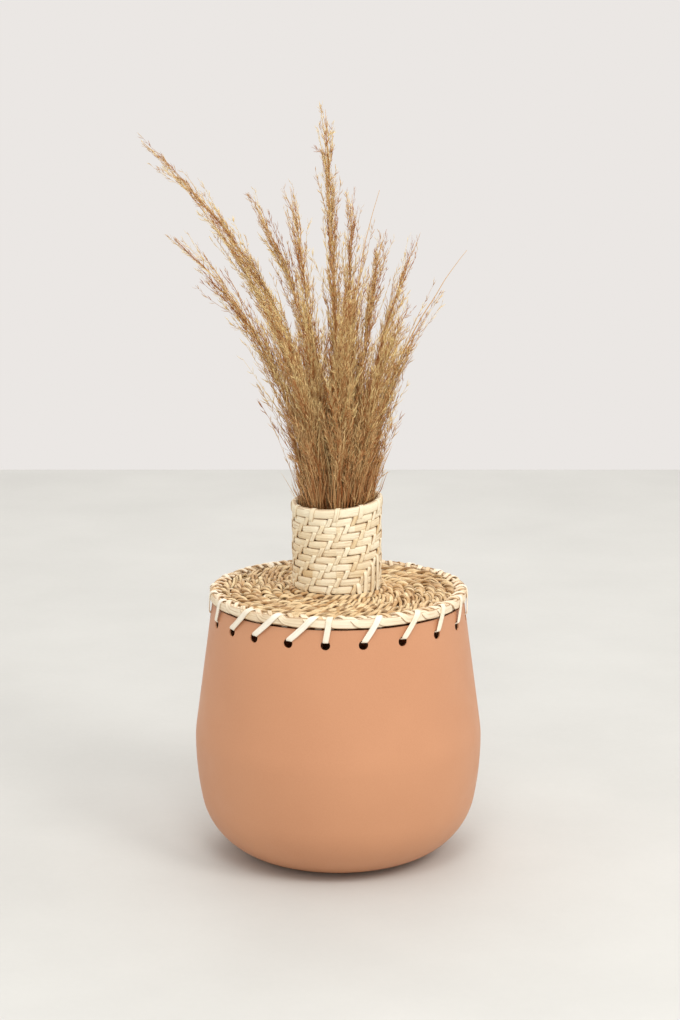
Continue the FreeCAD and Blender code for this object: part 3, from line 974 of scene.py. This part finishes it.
def floor():
    """A pale, slightly cloudy floor."""
    mesh = bpy.data.meshes.new("studio_floor")
    corners = [(x * FLOOR_HALF, y * FLOOR_HALF, 0) for x, y in ((-1, -1), (1, -1), (1, 1), (-1, 1))]
    mesh.from_pydata(corners, [], [(0, 1, 2, 3)])
    s = Shader("pale_floor")
    place = s.place()
    cloud = s.noise(place, 5.0, 4.0)
    speck = s.noise(place, 160.0, 3.0)
    colour = s.mix(s.spread(cloud, 0.3, 0.7), linear(202, 202, 198), linear(208, 208, 204))
    s.bump(speck, 0.0005, 0.2)
    mesh.materials.append(s.finish(colour, s.spread(speck, 0.3, 0.7, 0.6, 0.75), 0.3))
    ground = bpy.data.objects.new("studio_floor", mesh)
    bpy.context.scene.collection.objects.link(ground)


floor()

# Name, place, the point it is aimed at, size, power and colour
LIGHTS = [
    ("key", (1.5, -1.5, 2.1), (0, 0, 0.2), 1.0, 25.0, (1.0, 0.985, 0.965)),
    ("front_fill", (0.1, -2.0, 2.3), (0, -0.3, 0), 1.5, 7.0, (1.0, 0.995, 0.985)),
    ("front_floor", (0.0, -0.75, 1.0), (0, -0.2, 0), 0.4, 2.6, (0.97, 1.0, 1.0)),
    ("right_fill", (2.0, 0.3, 0.8), (0, 0, 0.15), 1.3, 3.0, (1.0, 0.99, 0.98)),
    ("left_fill", (-2.0, 0.3, 0.8), (0, 0, 0.15), 1.3, 1.0, (1.0, 0.99, 0.98)),
    ("top", (-0.3, 0.2, 2.4), (0, 0, 0.2), 1.6, 2.0, (1.0, 0.99, 0.97)),
    ("back_floor", (0, 1.35, 1.6), (0, 1.1, 0), 1.6, 9.0, (1.0, 0.995, 0.985)),
]


def area_light(name, place, target, size, power, colour):
    """A round area light that the camera doesn't see."""
    data = bpy.data.lights.new(name, "AREA")
    data.shape, data.size, data.energy, data.color = "DISK", size, power, colour
    lamp = bpy.data.objects.new(name, data)
    bpy.context.scene.collection.objects.link(lamp)
    lamp.location = place
    lamp.visible_camera = False
    lamp.rotation_euler = (Vector(target) - Vector(place)).to_track_quat("-Z", "Y").to_euler()


for light in LIGHTS:
    area_light(*light)

# The even background is the photo's wall
WALL_COLOUR = linear(237, 233, 230)
WALL_STRENGTH = 0.98
world = bpy.data.worlds.new("studio")
bpy.context.scene.world = world
world.use_nodes = True
background = world.node_tree.nodes["Background"]
background.inputs["Color"].default_value = WALL_COLOUR
background.inputs["Strength"].default_value = WALL_STRENGTH
bpy.context.scene.view_settings.view_transform = "Standard"

# Fitted so that the vase's outline lies as it does in the photo
SENSOR_MM = 36.0
LENS_MM = 88.235294
CAMERA_PLACE = (0.0015, -2.109, 0.755)
LOOKS_DOWN = 12.05                # degrees

camera = bpy.data.cameras.new("camera")
camera.lens = LENS_MM
camera.sensor_width = SENSOR_MM
camera.clip_end = 50.0
view = bpy.data.objects.new("camera", camera)
view.location = CAMERA_PLACE
view.rotation_euler = (math.radians(90 - LOOKS_DOWN), 0, 0)
bpy.context.scene.collection.objects.link(view)
bpy.context.scene.camera = view
